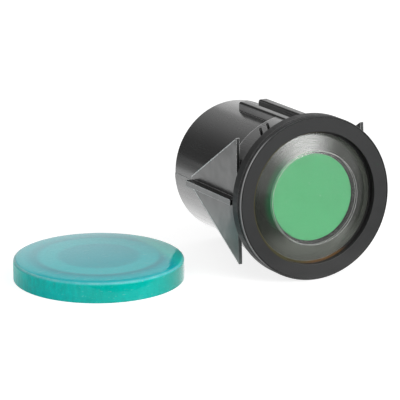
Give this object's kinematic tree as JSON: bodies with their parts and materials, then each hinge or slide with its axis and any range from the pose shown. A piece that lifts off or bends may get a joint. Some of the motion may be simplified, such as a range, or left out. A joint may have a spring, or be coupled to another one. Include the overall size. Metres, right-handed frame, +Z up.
{
  "type": "pushbutton switch",
  "caption": "Round black snap-in panel pushbutton switch with a green button under a clear boot, lying beside its teal push-on lens cover.",
  "frame": {"origin": "on the floor under the middle of the whole part, switch and lens cover together", "axes": "+X from the lens cover to the switch, +Y from the switch's front to its rear, +Z up; the switch's axis leans 3.2 degrees from Y, front up, as it rests on its flange and lower fins"},
  "size_m": [0.068, 0.0364, 0.0317],
  "materials": {
    "housing_black": "satin moulded black",
    "bezel_black": "fine matt moulded black",
    "amber_seal": "amber rubber",
    "clear_boot": "clear glossy soft plastic",
    "green_button": "satin green",
    "white_nylon": "natural nylon",
    "spring_steel": "drawn wire and sheet",
    "contact_brass": "stamped brass",
    "contact_silver": "silver faced",
    "base_phenolic": "brown moulded phenolic",
    "plated_screw": "zinc plated",
    "teal_lens": "translucent teal"
  },
  "bodies": {
    "switch": {"housing": "housing_black", "bezel_ring": "bezel_black", "seal_ring": "amber_seal", "boot": "clear_boot", "return_spring": "spring_steel", "spring_seat": "spring_steel", "guide_bush": "white_nylon", "contact_rivets": "contact_silver", "terminal_left": "contact_brass", "terminal_right": "contact_brass", "terminal_base": "base_phenolic", "base_screws": "plated_screw", "lens_cover": "teal_lens"},
    "button": {"button_cap": "green_button", "plunger": "white_nylon", "retaining_clips": "spring_steel", "contact_washer": "white_nylon", "contact_spring": "spring_steel", "contact_bridge": "contact_brass", "bridge_tips": "contact_silver"}
  },
  "joints": [
    {"name": "button_press", "type": "slide", "parent": "switch", "child": "button", "axis": [0, 0.9984, -0.0563], "range_m": [0, 0.0012], "stiffness_N_per_m": 800, "springref_m": -0.0025, "deforming": ["boot", "return_spring"]}
  ]
}
